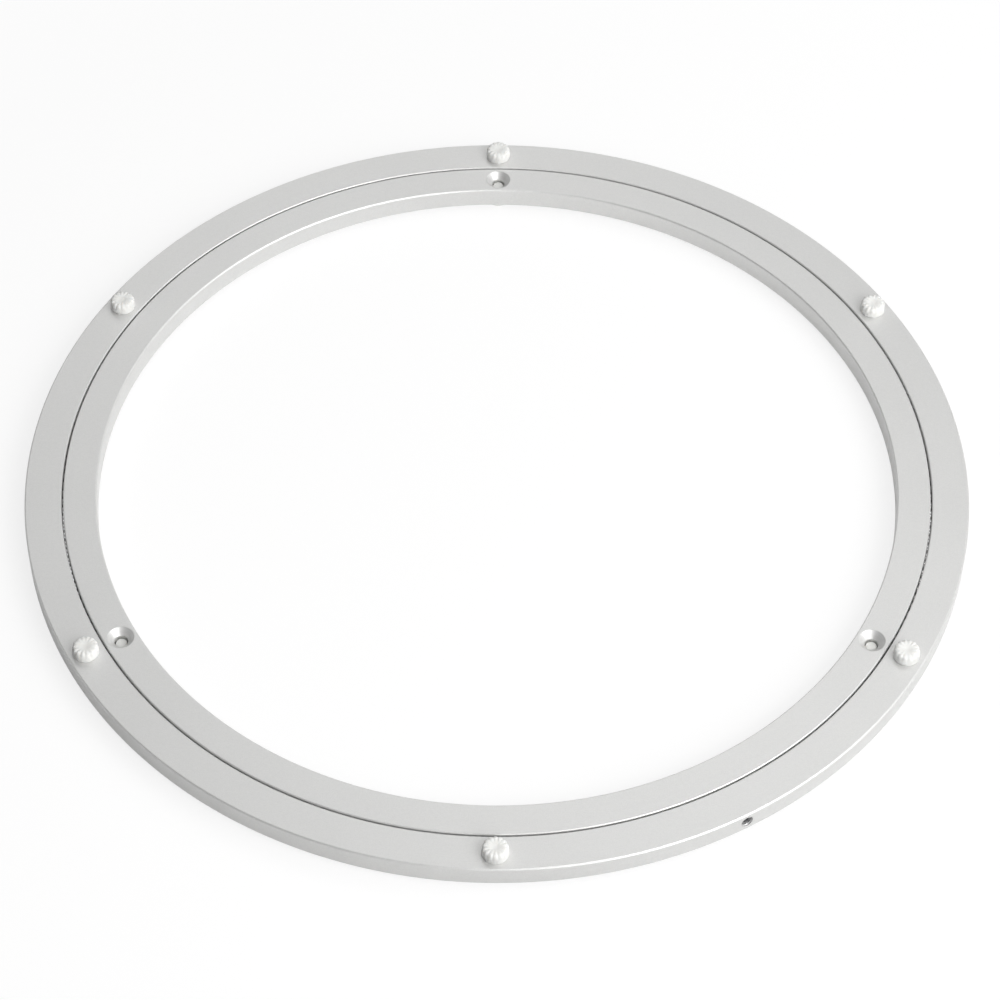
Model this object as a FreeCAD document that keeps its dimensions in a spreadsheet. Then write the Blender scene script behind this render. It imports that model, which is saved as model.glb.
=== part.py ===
import FreeCAD, Part
import math
import os
import Sketcher

# A lazy susan bearing, made as the real one is. A flat aluminium ring turns round another one on
# a full circle of loose steel balls, which run in a race cut into each ring. The inner ring stands
# on three feet, whose stems are pushed up into its countersunk screw holes. The outer ring carries
# six fluted pads for the plate, and a set screw closes the hole that the balls went in by.
# Lengths are in millimetres and angles in degrees. The turning axis is Z, and the table is Z = 0.

SIZES = (
    ("race_diameter", 322.2, "circle through the ball centres"),
    ("running_gap", 0.6, "open slit between the two rings"),
    ("outer_ring_width", 13.6, "from the slit to the outer wall"),
    ("inner_ring_width", 12.3, "from the bore to the slit"),
    ("ring_height", 8.5, "both rings"),
    ("edge_bevel", 0.6, "on the rings' edges, except the slit's lower two"),
    ("ball_diameter", 4.0, "steel balls"),
    ("ball_spacing", 0.04, "free room that each ball has beside it"),
    ("race_clearance", 0.05, "between a ball and a race flank"),
    ("race_flank_angle", 35.0, "a race flank against the level"),
    ("hole_diameter", 5.0, "screw holes, and holes for the pads"),
    ("countersink_diameter", 9.6, "screw holes, at the ring's top face"),
    ("countersink_angle", 90.0, "full angle"),
    ("stem_clearance", 0.45, "between a stem and its hole"),
    ("pad_count", 6, "pads on the outer ring"),
    ("pad_phase", 30.0, "angle of the first pad"),
    ("pad_diameter", 9.4, "drum, and over the flutes"),
    ("pad_height", 4.2, "above the ring"),
    ("pad_shoulder", 1.1, "height of the fluted shoulder that leans in under the crown"),
    ("flute_run_out", 0.9, "from the shoulder down to the smooth drum"),
    ("pad_crown", 7.0, "diameter of the flat top"),
    ("pad_dimple_diameter", 3.2, "hollow in the top"),
    ("pad_dimple_depth", 0.5, "hollow in the top"),
    ("pad_stem_setback", 1.0, "stem end above the ring's underside"),
    ("flute_count", 14, "flutes round a pad"),
    ("flute_depth", 0.6, "into the rim"),
    ("foot_count", 3, "feet under the inner ring"),
    ("foot_phase", 90.0, "angle of the first foot"),
    ("foot_diameter", 10.0, "head"),
    ("foot_thickness", 1.5, "head, and so the rings' height above the table"),
    ("foot_stem_drop", 3.3, "stem end below the ring's top"),
    ("filler_clearance", 1.0, "filler hole, wider than a ball"),
    ("filler_angle", 299.5, "where the filler hole is"),
    ("screw_clearance", 0.05, "between the set screw and its hole"),
    ("screw_recess", 1.0, "set screw below the outer wall"),
    ("screw_tip_gap", 0.4, "set screw short of the balls"),
    ("socket_width", 2.5, "across the flats"),
    ("socket_depth", 2.5, "hexagon socket"),
)

# Places worked out from the sizes, as formulas that every sketch and placement follows.
RACE = "Sizes.race_diameter / 2"
HALF_GAP = "Sizes.running_gap / 2"
BALL = "Sizes.ball_diameter / 2"
BEVEL = "Sizes.edge_bevel"
BOTTOM = "Sizes.foot_thickness"
TOP = f"({BOTTOM} + Sizes.ring_height)"
MIDDLE = f"({BOTTOM} + Sizes.ring_height / 2)"
OUTER_SLIT = f"({RACE} + {HALF_GAP})"
INNER_SLIT = f"({RACE} - {HALF_GAP})"
OUTER_WALL = f"({OUTER_SLIT} + Sizes.outer_ring_width)"
BORE_WALL = f"({INNER_SLIT} - Sizes.inner_ring_width)"
FLANK = "Sizes.race_flank_angle * 1 deg"
FLANK_DISTANCE = f"({BALL} + Sizes.race_clearance)"
MOUTH = f"({FLANK_DISTANCE} / cos({FLANK}) - {HALF_GAP} * tan({FLANK}))"
RACE_DEPTH = f"({FLANK_DISTANCE} / sin({FLANK}))"
PAD_CIRCLE = f"({OUTER_SLIT} + Sizes.outer_ring_width / 2)"
FOOT_CIRCLE = f"({INNER_SLIT} - Sizes.inner_ring_width / 2)"
STEM = "(Sizes.hole_diameter / 2 - Sizes.stem_clearance)"
FILLER_HOLE = "(Sizes.ball_diameter + Sizes.filler_clearance)"

# How far the filler hole's cut runs on past the outer wall.
OVERSHOOT = 1.0

doc = FreeCAD.newDocument("lazy_susan_bearing")
sheet = doc.addObject("Spreadsheet::Sheet", "Sizes")
parts = []


def fill_sheet():
    """Writes each size into the sheet, with its name beside it and what it is."""
    for row, (name, value, meaning) in enumerate(SIZES, start=1):
        sheet.set(f"A{row}", name)
        sheet.set(f"B{row}", str(value))
        sheet.set(f"C{row}", meaning)
        sheet.setAlias(f"B{row}", name)
    doc.recompute()


def number(formula):
    """Gives the value that a formula has at the present sizes."""
    value = sheet.evalExpression(formula)
    return float(getattr(value, "Value", value))


def add_body(name):
    """Starts one piece."""
    body = doc.addObject("PartDesign::Body", name)
    body.Label = name
    parts.append(body)
    return body


def origin_feature(body, role):
    """Finds a body's own origin plane or axis."""
    return next(feature for feature in body.Origin.OriginFeatures if feature.Role == role)


def add_sketch(body, name, role, height="0"):
    """Starts a sketch on one of the body's origin planes, raised from it by a formula."""
    sketch = body.newObject("Sketcher::SketchObject", f"{body.Name}_{name}")
    sketch.AttachmentSupport = [(origin_feature(body, role), "")]
    sketch.MapMode = "FlatFace"
    sketch.setExpression("AttachmentOffset.Base.z", height)
    return sketch


def bind(sketch, constraint, formula):
    """Adds a constraint whose value follows a formula."""
    index = sketch.addConstraint(constraint)
    sketch.renameConstraint(index, f"size_{index}")
    sketch.setExpression(f"Constraints.size_{index}", formula)


def place_point(sketch, geometry, end, x, y):
    """Holds a point at two formulas. The formula "0" puts it on an axis of the sketch."""
    vertical, horizontal = -2, -1
    if x == "0":
        sketch.addConstraint(Sketcher.Constraint("PointOnObject", geometry, end, vertical))
    else:
        bind(sketch, Sketcher.Constraint("DistanceX", -1, 1, geometry, end, number(x)), x)
    if y == "0":
        sketch.addConstraint(Sketcher.Constraint("PointOnObject", geometry, end, horizontal))
    else:
        bind(sketch, Sketcher.Constraint("DistanceY", -1, 1, geometry, end, number(y)), y)


def draw_outline(sketch, points):
    """Draws a closed outline through points that are given as pairs of formulas."""
    corners = [FreeCAD.Vector(number(x), number(y), 0) for x, y in points]
    count = len(points)
    for index in range(count):
        sketch.addGeometry(Part.LineSegment(corners[index], corners[(index + 1) % count]))
    for index, (x, y) in enumerate(points):
        sketch.addConstraint(Sketcher.Constraint("Coincident", index, 2, (index + 1) % count, 1))
        place_point(sketch, index, 1, x, y)


def draw_circle(sketch, x, y, diameter):
    """Draws a circle with its centre and diameter held by formulas."""
    centre = FreeCAD.Vector(number(x), number(y), 0)
    circle = sketch.addGeometry(Part.Circle(centre, FreeCAD.Vector(0, 0, 1), number(diameter) / 2))
    place_point(sketch, circle, 3, x, y)
    bind(sketch, Sketcher.Constraint("Diameter", circle, number(diameter)), diameter)


def draw_hexagon(sketch, flats):
    """Draws a hexagon about the sketch's origin, from its width across the flats."""
    across_corners = f"({flats}) / cos(30 deg)"
    radius = number(across_corners) / 2
    corners = [
        FreeCAD.Vector(radius * math.sin(side * math.pi / 3), radius * math.cos(side * math.pi / 3), 0)
        for side in range(6)
    ]
    for side in range(6):
        sketch.addGeometry(Part.LineSegment(corners[side], corners[(side + 1) % 6]))
    circle = sketch.addGeometry(Part.Circle(FreeCAD.Vector(), FreeCAD.Vector(0, 0, 1), radius), True)
    place_point(sketch, circle, 3, "0", "0")
    bind(sketch, Sketcher.Constraint("Diameter", circle, 2 * radius), across_corners)
    for side in range(6):
        sketch.addConstraint(Sketcher.Constraint("Coincident", side, 2, (side + 1) % 6, 1))
        sketch.addConstraint(Sketcher.Constraint("PointOnObject", side, 1, circle))
    for side in range(1, 6):
        sketch.addConstraint(Sketcher.Constraint("Equal", 0, side))
    sketch.addConstraint(Sketcher.Constraint("PointOnObject", 0, 1, -2))


def revolve(body, sketch, axis):
    """Turns a half section into a solid about an axis of its sketch."""
    feature = body.newObject("PartDesign::Revolution", f"{body.Name}_turned")
    feature.Profile = sketch
    feature.ReferenceAxis = (sketch, [axis])
    feature.Angle = 360
    doc.recompute()
    return feature


def repeat_round(body, feature, count):
    """Repeats a feature round the body's Z axis."""
    pattern = body.newObject("PartDesign::PolarPattern", f"{feature.Name}_circle")
    pattern.Originals = [feature]
    pattern.Axis = (origin_feature(body, "Z_Axis"), [""])
    pattern.Angle = 360
    pattern.setExpression("Occurrences", count)
    body.Tip = pattern
    doc.recompute()
    return pattern


def place_round(body, radius, angle, height):
    """Puts a piece at a radius, an angle and a height, turned to face outwards."""
    body.Placement = FreeCAD.Placement(
        FreeCAD.Vector(), FreeCAD.Rotation(FreeCAD.Vector(0, 0, 1), number(angle))
    )
    body.setExpression("Placement.Rotation.Angle", f"({angle}) * 1 deg")
    body.setExpression("Placement.Base.x", f"{radius} * cos(({angle}) * 1 deg)")
    body.setExpression("Placement.Base.y", f"{radius} * sin(({angle}) * 1 deg)")
    body.setExpression("Placement.Base.z", height)


def turn_ring(body, far_wall, slit, race_root, inward):
    """Turns a ring from its section: a bevelled far wall, and a slit wall with a V race in it.

    inward is the sign that leads from the slit wall into the ring: "+" for the outer ring.
    """
    outward = "-" if inward == "+" else "+"
    sketch = add_sketch(body, "section", "XZ_Plane")
    draw_outline(
        sketch,
        (
            (f"{far_wall} {outward} {BEVEL}", BOTTOM),
            (far_wall, f"{BOTTOM} + {BEVEL}"),
            (far_wall, f"{TOP} - {BEVEL}"),
            (f"{far_wall} {outward} {BEVEL}", TOP),
            (f"{slit} {inward} {BEVEL}", TOP),
            (slit, f"{TOP} - {BEVEL}"),
            (slit, f"{MIDDLE} + {MOUTH}"),
            (race_root, MIDDLE),
            (slit, f"{MIDDLE} - {MOUTH}"),
            (slit, BOTTOM),
        ),
    )
    revolve(body, sketch, "V_Axis")


def drill(body, circle, angle, count, countersunk):
    """Drills a circle of holes down through the ring, with or without sinks in its top face."""
    sketch = add_sketch(body, "holes", "XY_Plane", TOP)
    x = f"{circle} * cos({angle} * 1 deg)"
    y = f"{circle} * sin({angle} * 1 deg)"
    if abs(number(x)) < 1e-9:
        x = "0"
    draw_circle(sketch, x, y, "Sizes.hole_diameter")
    doc.recompute()
    hole = body.newObject("PartDesign::Hole", f"{body.Name}_hole")
    hole.Profile = sketch
    doc.recompute()
    hole.ThreadType = "None"
    hole.DepthType = "ThroughAll"
    hole.setExpression("Diameter", "Sizes.hole_diameter")
    if countersunk:
        hole.HoleCutType = "Countersink"
        hole.setExpression("HoleCutDiameter", "Sizes.countersink_diameter")
        hole.setExpression("HoleCutCountersinkAngle", "Sizes.countersink_angle")
    body.Tip = hole
    doc.recompute()
    return repeat_round(body, hole, count)


def make_outer_ring():
    """The turning ring, with its ball race, the pads' holes and the filler hole."""
    body = add_body("outer_ring")
    turn_ring(body, OUTER_WALL, OUTER_SLIT, f"{RACE} + {RACE_DEPTH}", "+")
    drill(body, PAD_CIRCLE, "Sizes.pad_phase", "Sizes.pad_count", False)
    sketch = add_sketch(body, "filler", "XZ_Plane")
    sketch.AttachmentOffset = FreeCAD.Placement(
        FreeCAD.Vector(), FreeCAD.Rotation(FreeCAD.Vector(0, 1, 0), 1)
    )
    # The plane's own normal points along -Y, which is 270 degrees round the ring.
    sketch.setExpression("AttachmentOffset.Rotation.Angle", "(Sizes.filler_angle - 270) * 1 deg")
    draw_circle(sketch, "0", MIDDLE, FILLER_HOLE)
    filler = body.newObject("PartDesign::Pocket", "outer_ring_filler_hole")
    filler.Profile = sketch
    filler.Type = "Length"
    filler.Reversed = True
    filler.setExpression("Length", f"{OUTER_WALL} + {OVERSHOOT}")
    body.Tip = filler
    doc.recompute()


def make_inner_ring():
    """The fixed ring, with its ball race and the screw holes that the feet plug."""
    body = add_body("inner_ring")
    turn_ring(body, BORE_WALL, INNER_SLIT, f"{RACE} - {RACE_DEPTH}", "-")
    drill(body, FOOT_CIRCLE, "Sizes.foot_phase", "Sizes.foot_count", True)


def flat_face(*loops):
    """A flat face from its outer loop of corners, and a loop for each hole in it."""
    wires = [Part.makePolygon(loop + loop[:1]) for loop in loops]
    return Part.makeFace(wires, "Part::FaceMakerBullseye")


def closed_solid(faces):
    """A solid from the flat faces that close round it."""
    solid = Part.Solid(Part.Shell(faces))
    if solid.Volume < 0:
        solid.reverse()
    return solid


def circle_of_corners(count, height, radii):
    """Corners round the Z axis at one height, which take the given radii in turn."""
    corners = []
    for corner in range(count):
        radius = radii[corner % len(radii)]
        turn = 2 * math.pi * corner / count
        corners.append(FreeCAD.Vector(radius * math.cos(turn), radius * math.sin(turn), height))
    return corners


def fluted_head():
    """A pad's head: a smooth drum, flutes that cut in above it, and a crown with a hollow."""
    flutes = int(number("Sizes.flute_count"))
    count = 2 * flutes
    crest = number("Sizes.pad_diameter / 2")
    root = crest - number("Sizes.flute_depth")
    lean = number("Sizes.pad_crown / Sizes.pad_diameter")
    top = number("Sizes.pad_height")
    shoulder = top - number("Sizes.pad_shoulder")
    hollow = number("Sizes.pad_dimple_diameter / 2")
    base = circle_of_corners(count, 0, (crest,))
    drum = circle_of_corners(count, shoulder - number("Sizes.flute_run_out"), (crest,))
    star = circle_of_corners(count, shoulder, (crest, root))
    crown = circle_of_corners(count, top, (crest * lean, root * lean))
    rim = circle_of_corners(flutes, top, (hollow,))
    deepest = FreeCAD.Vector(0, 0, top - number("Sizes.pad_dimple_depth"))
    faces = [flat_face(base), flat_face(crown, rim)]
    for corner in range(count):
        after = (corner + 1) % count
        faces.append(flat_face([base[corner], base[after], drum[after], drum[corner]]))
        faces.append(flat_face([star[corner], star[after], crown[after], crown[corner]]))
        tip, valley = (corner, after) if corner % 2 == 0 else (after, corner)
        faces.append(flat_face([drum[corner], drum[after], star[tip]]))
        faces.append(flat_face([drum[valley], star[after], star[corner]]))
    for corner in range(flutes):
        faces.append(flat_face([rim[corner], rim[(corner + 1) % flutes], deepest]))
    return closed_solid(faces)


def make_pad(index):
    """One pad: a fluted head on the outer ring, and a stem down in the ring's hole."""
    name = f"pad_{index + 1}"
    head = doc.addObject("Part::Feature", f"{name}_head")
    head.Shape = fluted_head()
    stem = doc.addObject("Part::Cylinder", f"{name}_stem")
    length = "(Sizes.ring_height - Sizes.pad_stem_setback)"
    stem.setExpression("Radius", STEM)
    stem.setExpression("Height", f"{length} + Sizes.pad_height / 2")
    stem.setExpression("Placement.Base.z", f"0 - {length}")
    pad = doc.addObject("Part::Fuse", name)
    pad.Label = name
    pad.Base = head
    pad.Tool = stem
    parts.append(pad)
    angle = f"Sizes.pad_phase + 360 * {index} / Sizes.pad_count"
    place_round(pad, PAD_CIRCLE, angle, TOP)


def make_foot(index):
    """One foot: a flat head under the inner ring, and a stem up in a screw hole."""
    body = add_body(f"foot_{index + 1}")
    edge = "Sizes.foot_diameter / 2"
    section = add_sketch(body, "section", "XZ_Plane")
    stem_top = f"{TOP} - Sizes.foot_stem_drop"
    draw_outline(
        section,
        (
            ("0", "0"),
            (edge, "0"),
            (edge, "Sizes.foot_thickness"),
            (STEM, "Sizes.foot_thickness"),
            (STEM, stem_top),
            ("0", stem_top),
        ),
    )
    revolve(body, section, "V_Axis")
    angle = f"Sizes.foot_phase + 360 * {index} / Sizes.foot_count"
    place_round(body, FOOT_CIRCLE, angle, "0")


def make_filler_screw():
    """The socket set screw, lying along the body's X axis from the race out to its recess."""
    body = add_body("filler_screw")
    radius = f"({FILLER_HOLE} / 2 - Sizes.screw_clearance)"
    head = f"({OUTER_WALL} - Sizes.screw_recess)"
    tip = f"({RACE} + {BALL} + Sizes.screw_tip_gap)"
    section = add_sketch(body, "section", "XY_Plane")
    draw_outline(
        section,
        (
            (tip, "0"),
            (tip, radius),
            (head, radius),
            (head, "0"),
        ),
    )
    revolve(body, section, "H_Axis")
    socket = add_sketch(body, "socket", "YZ_Plane", head)
    draw_hexagon(socket, "Sizes.socket_width")
    pocket = body.newObject("PartDesign::Pocket", "filler_screw_socket")
    pocket.Profile = socket
    pocket.Type = "Length"
    pocket.setExpression("Length", "Sizes.socket_depth")
    body.Tip = pocket
    place_round(body, "0", "Sizes.filler_angle", MIDDLE)


def faceted_ball(radius):
    """A ball of eight flat faces, as wide as the real ball along each axis."""
    girdle = circle_of_corners(4, 0, (radius,))
    faces = []
    for pole in (FreeCAD.Vector(0, 0, radius), FreeCAD.Vector(0, 0, -radius)):
        for corner in range(4):
            faces.append(flat_face([girdle[corner], girdle[(corner + 1) % 4], pole]))
    return closed_solid(faces)


def make_balls():
    """The full circle of balls, as many as the race holds with their free room."""
    race = number(RACE)
    count = int(2 * math.pi * race / number("Sizes.ball_diameter + Sizes.ball_spacing"))
    ball = faceted_ball(number(BALL))
    ball.translate(FreeCAD.Vector(race, 0, 0))
    balls = []
    for index in range(count):
        copy = ball.copy()
        copy.rotate(FreeCAD.Vector(), FreeCAD.Vector(0, 0, 1), 360 * index / count)
        balls.append(copy)
    piece = doc.addObject("Part::Feature", "balls")
    piece.Label = "balls"
    piece.Shape = Part.makeCompound(balls)
    piece.Placement = FreeCAD.Placement(FreeCAD.Vector(0, 0, number(MIDDLE)), FreeCAD.Rotation())
    parts.append(piece)
    print("balls in the race:", count)


def check():
    """Stops the build where an object failed or a piece is empty or not valid."""
    for item in doc.Objects:
        if "Invalid" in item.State or "Error" in item.State:
            raise RuntimeError(f"{item.Label} failed: {item.State}")
    for piece in parts:
        shape = piece.Shape
        if shape.isNull() or not shape.isValid() or not shape.Solids:
            raise RuntimeError(f"{piece.Label} has no valid solid")
        print(f"{piece.Label}: {len(shape.Solids)} solids, {shape.Volume:.2f} mm3")


def export():
    """Writes each piece to a file with its own name."""
    os.makedirs("parts", exist_ok=True)
    for piece in parts:
        piece.Shape.exportStep(f"parts/{piece.Label}.step")


fill_sheet()
make_outer_ring()
make_inner_ring()
for pad in range(int(number("Sizes.pad_count"))):
    make_pad(pad)
for foot in range(int(number("Sizes.foot_count"))):
    make_foot(foot)
make_filler_screw()
make_balls()
doc.recompute()
check()
export()
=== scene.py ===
import math

import bmesh
import bpy
import numpy as np
from mathutils import Matrix, Vector


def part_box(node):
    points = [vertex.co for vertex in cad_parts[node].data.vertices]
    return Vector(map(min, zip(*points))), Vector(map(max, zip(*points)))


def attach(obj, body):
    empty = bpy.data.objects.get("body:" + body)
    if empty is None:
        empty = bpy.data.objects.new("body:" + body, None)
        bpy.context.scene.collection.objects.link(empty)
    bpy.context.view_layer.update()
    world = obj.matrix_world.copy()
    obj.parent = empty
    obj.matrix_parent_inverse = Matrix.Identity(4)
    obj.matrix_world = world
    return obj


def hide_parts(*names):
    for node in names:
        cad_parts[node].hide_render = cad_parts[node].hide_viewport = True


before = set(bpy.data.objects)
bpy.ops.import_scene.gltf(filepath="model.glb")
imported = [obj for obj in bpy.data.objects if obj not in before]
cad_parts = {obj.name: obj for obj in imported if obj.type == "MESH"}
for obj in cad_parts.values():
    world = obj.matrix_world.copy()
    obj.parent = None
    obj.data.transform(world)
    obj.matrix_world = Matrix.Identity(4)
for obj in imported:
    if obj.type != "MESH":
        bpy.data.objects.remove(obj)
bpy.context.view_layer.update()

# The looks of a lazy susan bearing: two turned aluminium rings, the steel balls that show as dots
# in the slit between them, white fluted pads, white feet and a socket set screw. Lengths are in metres.

MM = 0.001

# Camera
CAMERA_DISTANCE = 1.1839
CAMERA_ELEVATION = math.radians(49.853)
CAMERA_ROLL = math.radians(0.307)
CAMERA_AIM_RIGHT = 1.14 * MM
CAMERA_AIM_UP = -10.04 * MM
CAMERA_SENSOR = 36.0
CAMERA_LENS = 114.57

# Rings. Their bevels are a little finer than those of the solids, and the slit's are the finest.
RING_SEGMENTS = 384
RACE_DEPTH = 3.574 * MM
RACE_MOUTH = 2.293 * MM
WALL_BEVEL = 0.48 * MM
SLIT_BEVEL = 0.32 * MM

# Eased corners. A corner takes up at most the side share of each of its two sides.
EDGE_SOFTNESS = 0.10 * MM
SOFT_STEPS = 4
SOFT_SIDE_SHARE = 1 / 2.2

# Holes in the rings
HOLE_SEGMENTS = 64
HOLE_RADIUS = 2.5 * MM
COUNTERSINK_RADIUS = 4.8 * MM
COUNTERSINK_LIP = 0.1 * MM
CUT_OVERSHOOT = 1.0 * MM

# A ring's metals, as places in its list
TURNED = 0
DRILLED = 1
TAPPED = 2

# Set screw and the tapped hole that it closes
THREAD_PITCH = 0.8 * MM
THREAD_DEPTH = 0.35 * MM
THREAD_STEP = 0.08 * MM
SCREW_SEGMENTS = 48
SCREW_CHAMFER = 0.45 * MM
SCREW_SHARP_DEGREES = 25
SOCKET_FLATS = 2.5 * MM
SOCKET_DEPTH = 2.5 * MM
SOCKET_TIP_TAPER = 0.7 * MM
SOCKET_TIP_DEPTH = 0.4 * MM

# Outline of a pad, in millimetres. The crown's points are radii and depths below the top, the rim's are
# distances in from the edge and depths, and the foot's are distances in and heights above the ring.
PAD_CROWN = ((0.02, 0.40), (0.7, 0.37), (1.3, 0.27), (1.9, 0.14), (2.6, 0.04), (3.3, 0.03))
PAD_RIM = ((0.80, 0.18), (0.36, 0.52), (0.12, 1.05), (0.02, 1.70))
PAD_FOOT = ((0.0, 0.50), (0.05, 0.14), (0.18, 0.0))
PAD_PROFILE_STEPS = 4
PAD_SHARP_DEGREES = 40

# Flutes of a pad. They start at the drum's depth below the crown and are full at the shoulder's.
PAD_PETALS = 14
PAD_STEPS_PER_PETAL = 16
PAD_VALLEY_SHAPE = 1.1
PAD_FLUTE = 0.22 * MM
PAD_GROOVE = 0.16 * MM
PAD_GROOVE_START = 1.3 * MM
PAD_GROOVE_FULL = 3.3 * MM
PAD_DRUM_DEPTH = 2.7 * MM
PAD_SHOULDER_DEPTH = 0.7 * MM

# Stems of the pads and the feet, and the heads of the feet
STEM_RADIUS = 2.05 * MM
STEM_CHAMFER = 0.3 * MM
FOOT_SOFTNESS = 0.35 * MM
FOOT_DOME = 0.08 * MM
FOOT_CENTRE_RADIUS = 0.02 * MM
FOOT_SHARP_DEGREES = 30

# Balls
BALL_COUNT = 250
BALL_SUBDIVISIONS = 3

# Colours, and how much of the rings' finish is bare metal
ALUMINIUM = (0.74, 0.74, 0.73)
# The thread's aluminium is a darker copy of the rings': painted shade inside the tapped hole.
SHADED_THREAD_ALUMINIUM = (0.53, 0.53, 0.53)
METALLIC = 0.6
PAD_WHITE = (0.90, 0.90, 0.875)
FOOT_WHITE = (0.86, 0.86, 0.83)
SCREW_STEEL = (0.55, 0.55, 0.56)
BALL_STEEL = (0.90, 0.90, 0.91)

# Aluminium. A noise is its cells to the metre, its detail and its harshness, and a shift is how far it
# moves the shade either way. A shade at the span's end is a spread darker or lighter than the tone.
# A bump is its strength and its height.
GRAIN = (2200.0, 4.0, 0.6)
GRAIN_SHIFT = 2.2
CLOUD = (30.0, 3.0, 0.5)
CLOUD_SHIFT = 0.5
MOTTLE = (700.0, 3.0, 0.5)
MOTTLE_SHIFT = 0.8
TURNED_MARKS = (5200.0, 3.0)
TURNED_MARKS_SHIFT = 0.5
DRILLED_MARKS = (2600.0, 3.0)
DRILLED_MARKS_SHIFT = 3.0
SHADE_SPAN = 0.8
SHADE_SPREAD = 0.035
ALUMINIUM_ROUGHNESS = (0.40, 0.52)
GRAIN_RELIEF = 0.6
MARKS_RELIEF = 0.5
ALUMINIUM_BUMP = (0.25, 0.02 * MM)

# White plastic, its duller patches, and the light that it lets in
PLASTIC_CLOUD = (350.0, 3.0, 0.5)
PLASTIC_GRAIN = (3000.0, 3.0, 0.5)
PLASTIC_DULLEST = 0.95
PLASTIC_ROUGHNESS = (0.52, 0.68)
PLASTIC_BUMP = (0.2, 0.03 * MM)
TRANSLUCENCE = 0.65
TRANSLUCENCE_TINT = (1.0, 0.97, 0.94)
TRANSLUCENCE_REACH = 1.8 * MM

# Steel
STEEL_MARKS = (1800.0, 4.0, 0.5)
STEEL_DULLEST = 0.85
STEEL_ROUGHNESS_SPREAD = 0.2
STEEL_BUMP = (0.15, 0.02 * MM)
SCREW_ROUGHNESS = 0.45
BALL_ROUGHNESS = 0.10

# Floor. What sees it gets a share of the light, which keeps the shadow, and a glow on top of that.
# It throws less light back outside the rings than in their opening, and it fades into the backdrop.
FLOOR_HUB = 0.01
FLOOR_REACH = 5.0
FLOOR_DROP = 0.02 * MM
FLOOR_SEGMENTS = 96
COVE_HEIGHT = 1.2
COVE_STEPS = 8
FLOOR_SHADED = 0.24
FLOOR_GLOW = 0.78
MIRRORED_SHADED = 0.80
MIRRORED_GLOW = 0.20
BOUNCE_INSIDE = 0.80
BOUNCE_OUTSIDE = 0.20
FADE_START = 0.28
FADE_END = 0.60
BACKDROP_GLOW = 1.0

# Light from all round, and the lamps: name, azimuth and elevation in degrees, distance, size, power
WORLD_LEVEL = 0.221
LAMPS = (
    ("key", 318, 36, 1.5, 1.0, 13.7),
    ("side", 345, 24, 1.5, 0.9, 1.3),
    ("low", 290, 12, 1.5, 0.6, 2.9),
    ("front", 285, 48, 1.5, 0.8, 2.9),
    ("right", 20, 45, 1.5, 0.9, 3.3),
    ("top", 62, 66, 1.5, 0.9, 2.5),
    ("back", 100, 45, 1.6, 0.9, 2.5),
)


def vectors_of(items, field):
    """One vector of each of a mesh's items, one to a row."""
    values = np.empty(len(items) * 3)
    items.foreach_get(field, values)
    return values.reshape(-1, 3)


def numbers_of(items, field):
    """One whole number of each of a mesh's items."""
    values = np.empty(len(items), int)
    items.foreach_get(field, values)
    return values


def centre_of(node):
    """The middle of a solid's box."""
    low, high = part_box(node)
    return (low + high) / 2


def turn_of(node):
    """The turn from the X axis to the middle of a solid."""
    middle = centre_of(node)
    return math.atan2(middle.y, middle.x)


def radii_of(node):
    """The smallest and the largest radius of a solid about the turning axis."""
    points = vectors_of(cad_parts[node].data.vertices, "co")
    radii = np.hypot(points[:, 0], points[:, 1])
    return float(radii.min()), float(radii.max())


RING_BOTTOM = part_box("outer_ring")[0].z
RING_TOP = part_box("outer_ring")[1].z
RING_MIDDLE = (RING_BOTTOM + RING_TOP) / 2
OUTER_SLIT, OUTER_WALL = radii_of("outer_ring")
BORE_WALL, INNER_SLIT = radii_of("inner_ring")
RACE_RADIUS = (OUTER_SLIT + INNER_SLIT) / 2
BALL_RADIUS = (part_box("balls")[1].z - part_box("balls")[0].z) / 2
PAD_NAMES = sorted(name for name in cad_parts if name.startswith("pad_"))
FOOT_NAMES = sorted(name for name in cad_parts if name.startswith("foot_"))


def link(name, data):
    """Puts a mesh, a lamp or a camera into the scene as an object."""
    made = bpy.data.objects.new(name, data)
    bpy.context.scene.collection.objects.link(made)
    return made


def mesh_from(name, points, faces):
    """A mesh from points and faces, with its faces turned outwards and shaded smooth."""
    mesh = bpy.data.meshes.new(name)
    mesh.from_pydata([tuple(point) for point in points], [], faces)
    shell = bmesh.new()
    shell.from_mesh(mesh)
    bmesh.ops.recalc_face_normals(shell, faces=shell.faces)
    return smooth_mesh(mesh, shell)


def smooth_mesh(mesh, shell):
    """The mesh with a worked shell put into it, shaded smooth."""
    shell.to_mesh(mesh)
    shell.free()
    mesh.polygons.foreach_set("use_smooth", [True] * len(mesh.polygons))
    return mesh


def loft(name, loops, closed=False, end_cap=True):
    """A skin over loops that have the same number of points.

    A closed one joins its last loop to its first. An open one is capped at its start, and at its end
    if an end cap is wanted.
    """
    count = len(loops[0])
    points = [point for loop in loops for point in loop]
    faces = []
    spans = len(loops) if closed else len(loops) - 1
    for span in range(spans):
        here = span * count
        there = (span + 1) % len(loops) * count
        for step in range(count):
            after = (step + 1) % count
            faces.append((here + step, here + after, there + after, there + step))
    if not closed:
        faces.append(tuple(range(count)))
        if end_cap:
            faces.append(tuple(range(len(points) - count, len(points))))
    return mesh_from(name, points, faces)


def turns(count):
    """Evenly spaced turns, once round."""
    return [2 * math.pi * step / count for step in range(count)]


def polar(radius, turn, height=0.0):
    """The point at a radius and a turn about the Z axis, and at a height."""
    return Vector((radius * math.cos(turn), radius * math.sin(turn), height))


def circle(radius, height, count):
    """Points round the Z axis. The radius and the height may each be a function of the turn."""
    points = []
    for turn in turns(count):
        r = radius(turn) if callable(radius) else radius
        z = height(turn) if callable(height) else height
        points.append(polar(r, turn, z))
    return points


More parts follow.
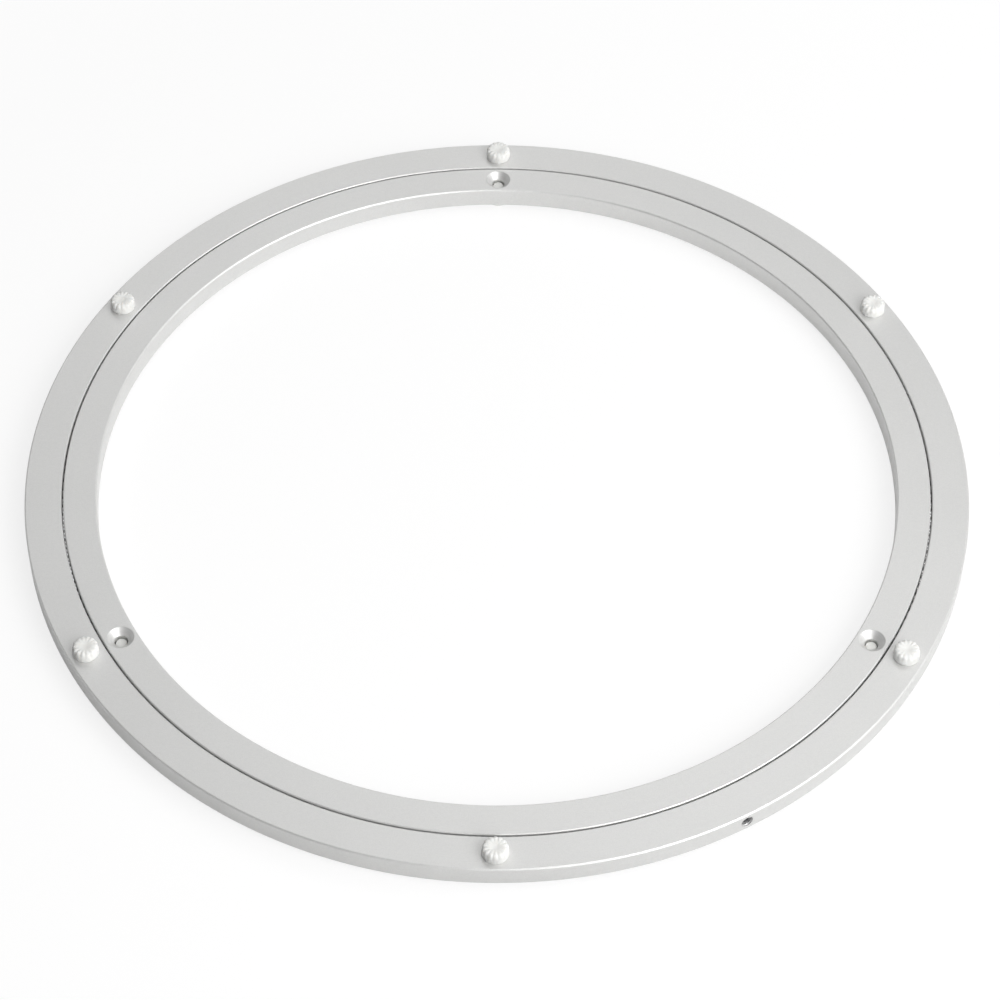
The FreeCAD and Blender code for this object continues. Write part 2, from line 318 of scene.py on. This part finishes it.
def hexagon(flats, count):
    """Points round a hexagon about the Z axis, given its width across the flats."""
    points = []
    for turn in turns(count):
        reach = flats / 2 / math.cos((turn + math.pi / 6) % (math.pi / 3) - math.pi / 6)
        points.append(polar(reach, turn))
    return points


def lying(points, along):
    """Points round the Z axis, laid round the X axis at a place along it."""
    return [Vector((along, point.x, point.y)) for point in points]


def soften(corners, radius, steps, closed=True):
    """An outline with its corners eased: each corner becomes a short curve."""
    outline = []
    count = len(corners)
    for index, corner in enumerate(corners):
        if not closed and index in (0, count - 1):
            outline.append(corner)
            continue
        here = Vector(corner)
        before = Vector(corners[index - 1]) - here
        after = Vector(corners[(index + 1) % count]) - here
        reach = min(radius, before.length * SOFT_SIDE_SHARE, after.length * SOFT_SIDE_SHARE)
        start = here + before.normalized() * reach
        end = here + after.normalized() * reach
        for step in range(steps + 1):
            share = step / steps
            point = start * (1 - share) ** 2 + here * 2 * share * (1 - share) + end * share ** 2
            outline.append((point.x, point.y))
    return outline


def smooth_line(points, steps):
    """A smooth line through points, as closely spaced points."""
    padded = [points[0]] + list(points) + [points[-1]]
    line = []
    for before, start, end, after in zip(padded, padded[1:], padded[2:], padded[3:]):
        for step in range(steps):
            t = step / steps
            line.append(
                tuple(
                    0.5 * (2 * b + (c - a) * t + (2 * a - 5 * b + 4 * c - d) * t * t
                           + (3 * b - a - 3 * c + d) * t ** 3)
                    for a, b, c, d in zip(before, start, end, after)
                )
            )
    line.append(points[-1])
    return line


def eased(value, low, high):
    """Goes smoothly from 0 at low to 1 at high."""
    share = min(max((value - low) / (high - low), 0.0), 1.0)
    return share * share * (3 - 2 * share)


def upright_place(node):
    """Moves what stands on the Z axis to a solid's own upright axis."""
    middle = centre_of(node)
    return Matrix.Translation((middle.x, middle.y, 0))


def filler_place():
    """Turns what lies along X to the filler screw's radius and height."""
    return Matrix.Translation((0, 0, RING_MIDDLE)) @ Matrix.Rotation(turn_of("filler_screw"), 4, "Z")


def shade_by_angle(piece, degrees):
    """Keeps edges that turn by more than an angle sharp."""
    piece.data.set_sharp_from_angle(angle=math.radians(degrees))


def swing_normals(mesh, holes):
    """Shades faces as turned ones: each normal swings round the axis that its face was turned about.

    The ring's own faces are turned about the Z axis, and the others about the nearest of the holes.
    """
    points = vectors_of(mesh.vertices, "co")
    normals = vectors_of(mesh.polygons, "normal")
    middles = vectors_of(mesh.polygons, "center")
    metals = numbers_of(mesh.polygons, "material_index")
    corners = numbers_of(mesh.loops, "vertex_index")
    owner = np.repeat(np.arange(len(middles)), numbers_of(mesh.polygons, "loop_total"))
    places = np.array([centre_of(hole).xy for hole in holes])
    gaps = np.hypot(middles[:, None, 0] - places[:, 0], middles[:, None, 1] - places[:, 1])
    axes = np.where(metals[:, None] == TURNED, 0.0, places[gaps.argmin(axis=1)])
    arm = middles[owner, :2] - axes[owner]
    tip = points[corners, :2] - axes[owner]
    swing = np.arctan2(tip[:, 1], tip[:, 0]) - np.arctan2(arm[:, 1], arm[:, 0])
    cosine = np.cos(swing)
    sine = np.sin(swing)
    turned = normals[owner].copy()
    turned[:, 0] = normals[owner, 0] * cosine - normals[owner, 1] * sine
    turned[:, 1] = normals[owner, 0] * sine + normals[owner, 1] * cosine
    mesh.normals_split_custom_set([tuple(normal) for normal in turned])


def turned_ring(name, far_wall, slit, race_root, metals):
    """A ring turned from its section, with eased bevels and a V race in its slit wall."""
    side = 1 if far_wall > slit else -1
    section = (
        (far_wall - side * WALL_BEVEL, RING_BOTTOM),
        (far_wall, RING_BOTTOM + WALL_BEVEL),
        (far_wall, RING_TOP - WALL_BEVEL),
        (far_wall - side * WALL_BEVEL, RING_TOP),
        (slit + side * SLIT_BEVEL, RING_TOP),
        (slit, RING_TOP - SLIT_BEVEL),
        (slit, RING_MIDDLE + RACE_MOUTH),
        (race_root, RING_MIDDLE),
        (slit, RING_MIDDLE - RACE_MOUTH),
        (slit, RING_BOTTOM),
    )
    outline = soften(section, EDGE_SOFTNESS, SOFT_STEPS)
    loops = [[polar(r, turn, z) for r, z in outline] for turn in turns(RING_SEGMENTS)]
    ring = link(name, loft(name, loops, closed=True))
    for metal in metals:
        ring.data.materials.append(metal)
    return ring


def add_cutter(name, loops, place, metals, metal_index):
    """A cutter that leaves one of a ring's metals on the faces that it cuts."""
    cutter = link(name, loft(name, loops))
    cutter.data.transform(place)
    for metal in metals:
        cutter.data.materials.append(metal)
    for face in cutter.data.polygons:
        face.material_index = metal_index
    return cutter


def upright_cutters(nodes, section, metals):
    """A cutter on each solid's own upright axis, turned from radii and heights."""
    loops = [circle(radius, height, HOLE_SEGMENTS) for radius, height in section]
    return [add_cutter(f"cut_{node}", loops, upright_place(node), metals, DRILLED) for node in nodes]


def threaded(along, turn, radius):
    """The radius of a thread at a place along it and a turn round it."""
    phase = (along / THREAD_PITCH - turn / (2 * math.pi)) % 1
    return radius - THREAD_DEPTH * abs(2 * phase - 1)


def threaded_rod(start, end, radius, count):
    """Loops of points round a threaded rod that lies along the X axis."""
    steps = int((end - start) / THREAD_STEP)
    loops = []
    for step in range(steps + 1):
        along = start + (end - start) * step / steps
        loops.append(lying(circle(lambda turn: threaded(along, turn, radius), 0, count), along))
    return loops


def cut(ring, cutters):
    """Cuts the cutters' shapes out of a ring. The cut faces keep the cutters' metals."""
    bpy.ops.object.select_all(action="DESELECT")
    for cutter in cutters:
        cutter.select_set(True)
    bpy.context.view_layer.objects.active = cutters[0]
    bpy.ops.object.join()
    joined = bpy.context.view_layer.objects.active
    modifier = ring.modifiers.new("holes", "BOOLEAN")
    modifier.operation = "DIFFERENCE"
    modifier.solver = "EXACT"
    modifier.material_mode = "INDEX"
    modifier.object = joined
    graph = bpy.context.evaluated_depsgraph_get()
    mesh = bpy.data.meshes.new_from_object(ring.evaluated_get(graph))
    ring.modifiers.clear()
    ring.data = mesh
    bpy.data.objects.remove(joined)


def make_outer_ring(metals):
    """The turning ring, with the pads' holes and the tapped filler hole."""
    ring = turned_ring("outer_ring_turned", OUTER_WALL, OUTER_SLIT, RACE_RADIUS + RACE_DEPTH, metals)
    section = (
        (HOLE_RADIUS, RING_BOTTOM - CUT_OVERSHOOT),
        (HOLE_RADIUS, RING_TOP + CUT_OVERSHOOT),
    )
    cutters = upright_cutters(PAD_NAMES, section, metals)
    start = RACE_RADIUS + BALL_RADIUS / 2
    end = OUTER_WALL + CUT_OVERSHOOT
    thread = threaded_rod(start, end, HOLE_RADIUS, HOLE_SEGMENTS)
    cutters.append(add_cutter("cut_filler", thread, filler_place(), metals, TAPPED))
    cut(ring, cutters)
    swing_normals(ring.data, PAD_NAMES)
    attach(ring, "turntable")
    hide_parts("outer_ring")


def make_inner_ring(metals):
    """The fixed ring, with its countersunk screw holes."""
    ring = turned_ring("inner_ring_turned", BORE_WALL, INNER_SLIT, RACE_RADIUS - RACE_DEPTH, metals)
    depth = COUNTERSINK_RADIUS - HOLE_RADIUS
    section = (
        (HOLE_RADIUS, RING_BOTTOM - CUT_OVERSHOOT),
        (HOLE_RADIUS, RING_TOP - depth),
        (COUNTERSINK_RADIUS - COUNTERSINK_LIP, RING_TOP - COUNTERSINK_LIP),
        (COUNTERSINK_RADIUS + COUNTERSINK_LIP, RING_TOP),
        (COUNTERSINK_RADIUS + COUNTERSINK_LIP, RING_TOP + CUT_OVERSHOOT),
    )
    cut(ring, upright_cutters(FOOT_NAMES, section, metals))
    swing_normals(ring.data, FOOT_NAMES)
    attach(ring, "base")
    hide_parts("inner_ring")


def pad_profile(radius, height):
    """A pad's outline over a petal, from the hollow's middle out and down to the ring."""
    points = [(r * MM, height - drop * MM) for r, drop in PAD_CROWN]
    points += [(radius - inset * MM, height - drop * MM) for inset, drop in PAD_RIM]
    points += [(radius - inset * MM, z * MM) for inset, z in PAD_FOOT]
    return smooth_line(points, PAD_PROFILE_STEPS)


def petal(turn):
    """How far into the valley between two petals a place is, from 0 on a crest to 1."""
    return 1 - abs(math.cos(PAD_PETALS * turn / 2)) ** PAD_VALLEY_SHAPE


def make_pad(name, plastic):
    """A pad: a crown of petals with a hollow in it, on a stem."""
    low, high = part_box(name)
    radius = (high.x - low.x) / 2
    height = high.z - RING_TOP
    count = PAD_PETALS * PAD_STEPS_PER_PETAL
    loops = []
    for r, z in pad_profile(radius, height):
        depth = eased(r, PAD_GROOVE_START, PAD_GROOVE_FULL)
        depth *= eased(z, height - PAD_DRUM_DEPTH, height - PAD_SHOULDER_DEPTH)
        flute = PAD_FLUTE * depth * r / radius
        groove = PAD_GROOVE * depth
        loops.append(
            circle(
                lambda turn: r - flute * petal(turn),
                lambda turn: RING_TOP + z - groove * petal(turn),
                count,
            )
        )
    stem = (
        (STEM_RADIUS, RING_TOP),
        (STEM_RADIUS, low.z + STEM_CHAMFER),
        (STEM_RADIUS - STEM_CHAMFER, low.z),
    )
    loops += [circle(r, z, count) for r, z in stem]
    pad = link(f"{name}_petals", loft(f"{name}_petals", loops))
    pad.data.transform(upright_place(name) @ Matrix.Rotation(turn_of(name), 4, "Z"))
    shade_by_angle(pad, PAD_SHARP_DEGREES)
    pad.data.materials.append(plastic)
    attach(pad, "turntable")
    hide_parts(name)


def make_foot(name, plastic):
    """A foot: a flat head with eased edges and a stem with a slightly domed end."""
    low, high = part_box(name)
    edge = (high.x - low.x) / 2
    section = (
        (FOOT_CENTRE_RADIUS, low.z),
        (edge, low.z),
        (edge, RING_BOTTOM),
        (STEM_RADIUS, RING_BOTTOM),
        (STEM_RADIUS, high.z - FOOT_DOME),
        (FOOT_CENTRE_RADIUS, high.z),
    )
    outline = soften(section, FOOT_SOFTNESS, SOFT_STEPS, closed=False)
    loops = [circle(r, z, HOLE_SEGMENTS) for r, z in outline]
    foot = link(f"{name}_moulded", loft(f"{name}_moulded", loops))
    foot.data.transform(upright_place(name))
    shade_by_angle(foot, FOOT_SHARP_DEGREES)
    foot.data.materials.append(plastic)
    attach(foot, "base")
    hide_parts(name)


def make_filler_screw(metal):
    """The set screw: a threaded rod with a chamfered head and a hexagon socket."""
    low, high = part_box("filler_screw")
    radius = (high.z - low.z) / 2
    turn = turn_of("filler_screw")
    points = vectors_of(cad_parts["filler_screw"].data.vertices, "co")
    along = points[:, 0] * math.cos(turn) + points[:, 1] * math.sin(turn)
    tip = float(along.min())
    head = float(along.max())
    bottom = head - SOCKET_DEPTH
    loops = threaded_rod(tip, head - SCREW_CHAMFER, radius, SCREW_SEGMENTS)
    loops.append(lying(circle(radius - SCREW_CHAMFER, 0, SCREW_SEGMENTS), head))
    for flats, place in (
        (SOCKET_FLATS, head),
        (SOCKET_FLATS, bottom),
        (SOCKET_FLATS - SOCKET_TIP_TAPER, bottom - SOCKET_TIP_DEPTH),
    ):
        loops.append(lying(hexagon(flats, SCREW_SEGMENTS), place))
    screw = link("filler_screw_threaded", loft("filler_screw_threaded", loops))
    screw.data.transform(filler_place())
    shade_by_angle(screw, SCREW_SHARP_DEGREES)
    screw.data.materials.append(metal)
    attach(screw, "turntable")
    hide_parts("filler_screw")


def make_balls(metal):
    """The full circle of round balls."""
    shape = bmesh.new()
    for turn in turns(BALL_COUNT):
        place = Matrix.Rotation(turn, 4, "Z") @ Matrix.Translation((RACE_RADIUS, 0, RING_MIDDLE))
        bmesh.ops.create_icosphere(shape, subdivisions=BALL_SUBDIVISIONS, radius=BALL_RADIUS, matrix=place)
    balls = link("balls_round", smooth_mesh(bpy.data.meshes.new("balls_round"), shape))
    balls.data.materials.append(metal)
    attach(balls, "ball_train")
    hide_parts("balls")


def shaded(tone, share):
    """A colour at a share of its brightness, with its alpha."""
    return tuple(min(channel * share, 1) for channel in tone) + (1,)


def grey(level):
    """A grey, with its alpha."""
    return (level, level, level, 1)


class Nodes:
    """The node tree of a material or a world, with a short way to add nodes to it."""

    def __init__(self, owner):
        owner.use_nodes = True
        self.tree = owner.node_tree

    def add(self, kind, inputs=None, **settings):
        """Adds a node. An input is a value, or the output that feeds it."""
        made = self.tree.nodes.new(kind)
        for name, value in settings.items():
            setattr(made, name, value)
        for name, value in (inputs or {}).items():
            self.feed(made.inputs[name], value)
        return made

    def feed(self, socket, value):
        """Sets a socket to a value, or links an output to it."""
        if isinstance(value, bpy.types.NodeSocket):
            self.tree.links.new(value, socket)
        else:
            socket.default_value = value

    def place(self):
        """The place on the object, in metres."""
        return self.add("ShaderNodeTexCoord").outputs["Object"]

    def maths(self, operation, first, second=0.0):
        """The result of one sum."""
        return self.add("ShaderNodeMath", {0: first, 1: second}, operation=operation).outputs[0]

    def length(self, vector):
        """The length of a vector."""
        return self.add("ShaderNodeVectorMath", {0: vector}, operation="LENGTH").outputs["Value"]

    def noise(self, vector, scale, detail, roughness):
        """Noise over a vector, as a number from 0 to 1."""
        inputs = {"Vector": vector, "Scale": scale, "Detail": detail, "Roughness": roughness}
        return self.add("ShaderNodeTexNoise", inputs).outputs["Fac"]

    def line_noise(self, along, scale, detail):
        """Noise along a line, as a number from 0 to 1."""
        inputs = {"W": along, "Scale": scale, "Detail": detail}
        return self.add("ShaderNodeTexNoise", inputs, noise_dimensions="1D").outputs["Fac"]

    def between(self, factor, low, high, from_low=0.0, from_high=1.0):
        """Carries a number from one range to another, held within it."""
        inputs = {
            "Value": factor, "From Min": from_low, "From Max": from_high, "To Min": low, "To Max": high,
        }
        return self.add("ShaderNodeMapRange", inputs).outputs["Result"]

    def mix(self, factor, first, second):
        """A colour between two."""
        made = self.add("ShaderNodeMix", {0: factor}, data_type="RGBA")
        self.feed(made.inputs[6], first)
        self.feed(made.inputs[7], second)
        return made.outputs[2]

    def mix_shaders(self, factor, first, second):
        """A shader between two."""
        return self.add("ShaderNodeMixShader", {0: factor, 1: first, 2: second}).outputs[0]

    def glow(self, strength):
        """White light that a surface gives off."""
        return self.add("ShaderNodeEmission", {"Strength": strength}).outputs[0]

    def lit_and_glowing(self, lit, strength):
        """A grey that shows the light on it, with a glow on top."""
        matt = self.add("ShaderNodeBsdfDiffuse", {"Color": grey(lit)}).outputs[0]
        return self.add("ShaderNodeAddShader", {0: matt, 1: self.glow(strength)}).outputs[0]

    def bump(self, shader, relief, strength, height):
        """Raises a shader's surface by up to a height, as a relief from 0 to 1 says."""
        made = self.add("ShaderNodeBump", {"Height": relief, "Strength": strength, "Distance": height})
        self.feed(shader.inputs["Normal"], made.outputs["Normal"])


def new_material(name):
    """A material, its nodes and its main shader."""
    material = bpy.data.materials.new(name)
    nodes = Nodes(material)
    return material, nodes, nodes.tree.nodes["Principled BSDF"]


def aluminium(name, tone, turned):
    """Satin aluminium with a grain and fine cutting marks.

    The marks run round the turning axis, or round the axis of an upright hole.
    """
    material, nodes, shader = new_material(name)
    place = nodes.place()
    across = nodes.add("ShaderNodeSeparateXYZ", {0: place}).outputs["Z"]
    if turned:
        flat = nodes.add("ShaderNodeVectorMath", {0: place, 1: (1, 1, 0)}, operation="MULTIPLY").outputs[0]
        across = nodes.maths("ADD", nodes.length(flat), across)
    marks = nodes.line_noise(across, *(TURNED_MARKS if turned else DRILLED_MARKS))
    grain = nodes.noise(place, *GRAIN)
    shade = nodes.between(grain, -GRAIN_SHIFT, GRAIN_SHIFT)
    for noise, shift in (
        (nodes.noise(place, *CLOUD), CLOUD_SHIFT),
        (nodes.noise(place, *MOTTLE), MOTTLE_SHIFT),
        (marks, TURNED_MARKS_SHIFT if turned else DRILLED_MARKS_SHIFT),
    ):
        shade = nodes.maths("ADD", shade, nodes.between(noise, -shift, shift))
    share = nodes.between(shade, 0.0, 1.0, -SHADE_SPAN, SHADE_SPAN)
    colour = nodes.mix(share, shaded(tone, 1 - SHADE_SPREAD), shaded(tone, 1 + SHADE_SPREAD))
    nodes.feed(shader.inputs["Base Color"], colour)
    nodes.feed(shader.inputs["Roughness"], nodes.between(grain, *ALUMINIUM_ROUGHNESS))
    shader.inputs["Metallic"].default_value = METALLIC
    grain_relief = nodes.maths("MULTIPLY", grain, GRAIN_RELIEF)
    marks_relief = nodes.maths("MULTIPLY", marks, MARKS_RELIEF)
    nodes.bump(shader, nodes.maths("ADD", grain_relief, marks_relief), *ALUMINIUM_BUMP)
    return material


def white_plastic(name, tone):
    """Moulded white plastic: slightly uneven, a little translucent, semi-matt."""
    material, nodes, shader = new_material(name)
    place = nodes.place()
    cloud = nodes.noise(place, *PLASTIC_CLOUD)
    grain = nodes.noise(place, *PLASTIC_GRAIN)
    colour = nodes.mix(cloud, shaded(tone, PLASTIC_DULLEST), shaded(tone, 1))
    nodes.feed(shader.inputs["Base Color"], colour)
    nodes.feed(shader.inputs["Roughness"], nodes.between(grain, *PLASTIC_ROUGHNESS))
    shader.inputs["Subsurface Weight"].default_value = TRANSLUCENCE
    shader.inputs["Subsurface Radius"].default_value = TRANSLUCENCE_TINT
    shader.inputs["Subsurface Scale"].default_value = TRANSLUCENCE_REACH
    nodes.bump(shader, grain, *PLASTIC_BUMP)
    return material


def steel(name, tone, roughness):
    """Steel with fine drawing marks."""
    material, nodes, shader = new_material(name)
    marks = nodes.noise(nodes.place(), *STEEL_MARKS)
    colour = nodes.mix(marks, shaded(tone, STEEL_DULLEST), shaded(tone, 1))
    smoothest = roughness * (1 - STEEL_ROUGHNESS_SPREAD)
    roughest = roughness * (1 + STEEL_ROUGHNESS_SPREAD)
    nodes.feed(shader.inputs["Base Color"], colour)
    nodes.feed(shader.inputs["Roughness"], nodes.between(marks, smoothest, roughest))
    shader.inputs["Metallic"].default_value = 1.0
    nodes.bump(shader, marks, *STEEL_BUMP)
    return material


def floor_white():
    """The floor's white: what an eye or a mirror sees of it, and the light that it throws back."""
    material, nodes, _ = new_material("floor_white")
    rays = nodes.add("ShaderNodeLightPath").outputs
    distance = nodes.length(nodes.place())
    outside = nodes.between(distance, 0.0, 1.0, BORE_WALL, OUTER_WALL)
    tone = nodes.mix(outside, grey(BOUNCE_INSIDE), grey(BOUNCE_OUTSIDE))
    bounce = nodes.add("ShaderNodeBsdfDiffuse", {"Color": tone}).outputs[0]
    shown = nodes.lit_and_glowing(FLOOR_SHADED, FLOOR_GLOW)
    mirrored = nodes.lit_and_glowing(MIRRORED_SHADED, MIRRORED_GLOW)
    near = nodes.mix_shaders(rays["Is Glossy Ray"], shown, mirrored)
    far = nodes.between(distance, 0.0, 1.0, FADE_START, FADE_END)
    picture = nodes.mix_shaders(far, near, nodes.glow(BACKDROP_GLOW))
    seen = nodes.maths("MAXIMUM", rays["Is Camera Ray"], rays["Is Glossy Ray"])
    seen = nodes.maths("MAXIMUM", seen, rays["Is Transmission Ray"])
    result = nodes.mix_shaders(seen, bounce, picture)
    nodes.feed(nodes.tree.nodes["Material Output"].inputs["Surface"], result)
    return material


def add_floor():
    """A round white floor that rises into a backdrop, and keeps the object's shadow."""
    corners = ((FLOOR_HUB, 0.0), (FLOOR_REACH, 0.0), (FLOOR_REACH, COVE_HEIGHT))
    profile = soften(corners, COVE_HEIGHT / 2, COVE_STEPS, closed=False)
    loops = [circle(r, z, FLOOR_SEGMENTS) for r, z in profile]
    floor = link("floor", loft("floor", loops, end_cap=False))
    floor.location.z = -FLOOR_DROP
    floor.data.materials.append(floor_white())


def add_world():
    """Faint even light from all round."""
    world = bpy.data.worlds.new("studio")
    bpy.context.scene.world = world
    background = Nodes(world).tree.nodes["Background"]
    background.inputs["Color"].default_value = grey(1)
    background.inputs["Strength"].default_value = WORLD_LEVEL


def add_lamps():
    """Soft square lamps that face the bearing."""
    for name, azimuth, elevation, distance, size, power in LAMPS:
        data = bpy.data.lights.new(name, "AREA")
        data.shape = "SQUARE"
        data.size = size
        data.energy = power
        lamp = link(name, data)
        rise = math.radians(elevation)
        way = polar(math.cos(rise), math.radians(azimuth), math.sin(rise))
        lamp.location = way * distance
        lamp.rotation_euler = (-way).to_track_quat("-Z", "Y").to_euler()


def add_camera():
    """The camera, as fitted to the photo's edges. Its distance is from the middle of the top face."""
    data = bpy.data.cameras.new("camera")
    data.sensor_width = CAMERA_SENSOR
    data.lens = CAMERA_LENS
    camera = link("camera", data)
    centre = Vector((0, 0, RING_TOP))
    back = Vector((0, -math.cos(CAMERA_ELEVATION), math.sin(CAMERA_ELEVATION)))
    up = Vector((0, math.sin(CAMERA_ELEVATION), math.cos(CAMERA_ELEVATION)))
    camera.location = centre + back * CAMERA_DISTANCE
    aim = centre + Vector((CAMERA_AIM_RIGHT, 0, 0)) + up * CAMERA_AIM_UP
    look = (aim - camera.location).to_track_quat("-Z", "Y").to_matrix()
    camera.rotation_euler = (look @ Matrix.Rotation(CAMERA_ROLL, 3, "Z")).to_euler()
    bpy.context.scene.camera = camera


ring_metal = aluminium("turned_aluminium", ALUMINIUM, turned=True)
hole_metal = aluminium("drilled_aluminium", ALUMINIUM, turned=False)
# The tapped hole's thread gets the darker copy of the aluminium, as painted shade inside the hole.
shaded_thread_metal = aluminium("tapped_aluminium_painted_shade", SHADED_THREAD_ALUMINIUM, turned=False)
make_outer_ring((ring_metal, hole_metal, shaded_thread_metal))
make_inner_ring((ring_metal, hole_metal))
pad_white = white_plastic("moulded_pad", PAD_WHITE)
for pad in PAD_NAMES:
    make_pad(pad, pad_white)
foot_white = white_plastic("moulded_foot", FOOT_WHITE)
for foot in FOOT_NAMES:
    make_foot(foot, foot_white)
make_filler_screw(steel("screw_steel", SCREW_STEEL, SCREW_ROUGHNESS))
make_balls(steel("polished_steel", BALL_STEEL, BALL_ROUGHNESS))
add_floor()
add_world()
add_lamps()
add_camera()
bpy.context.scene.view_settings.view_transform = "Standard"
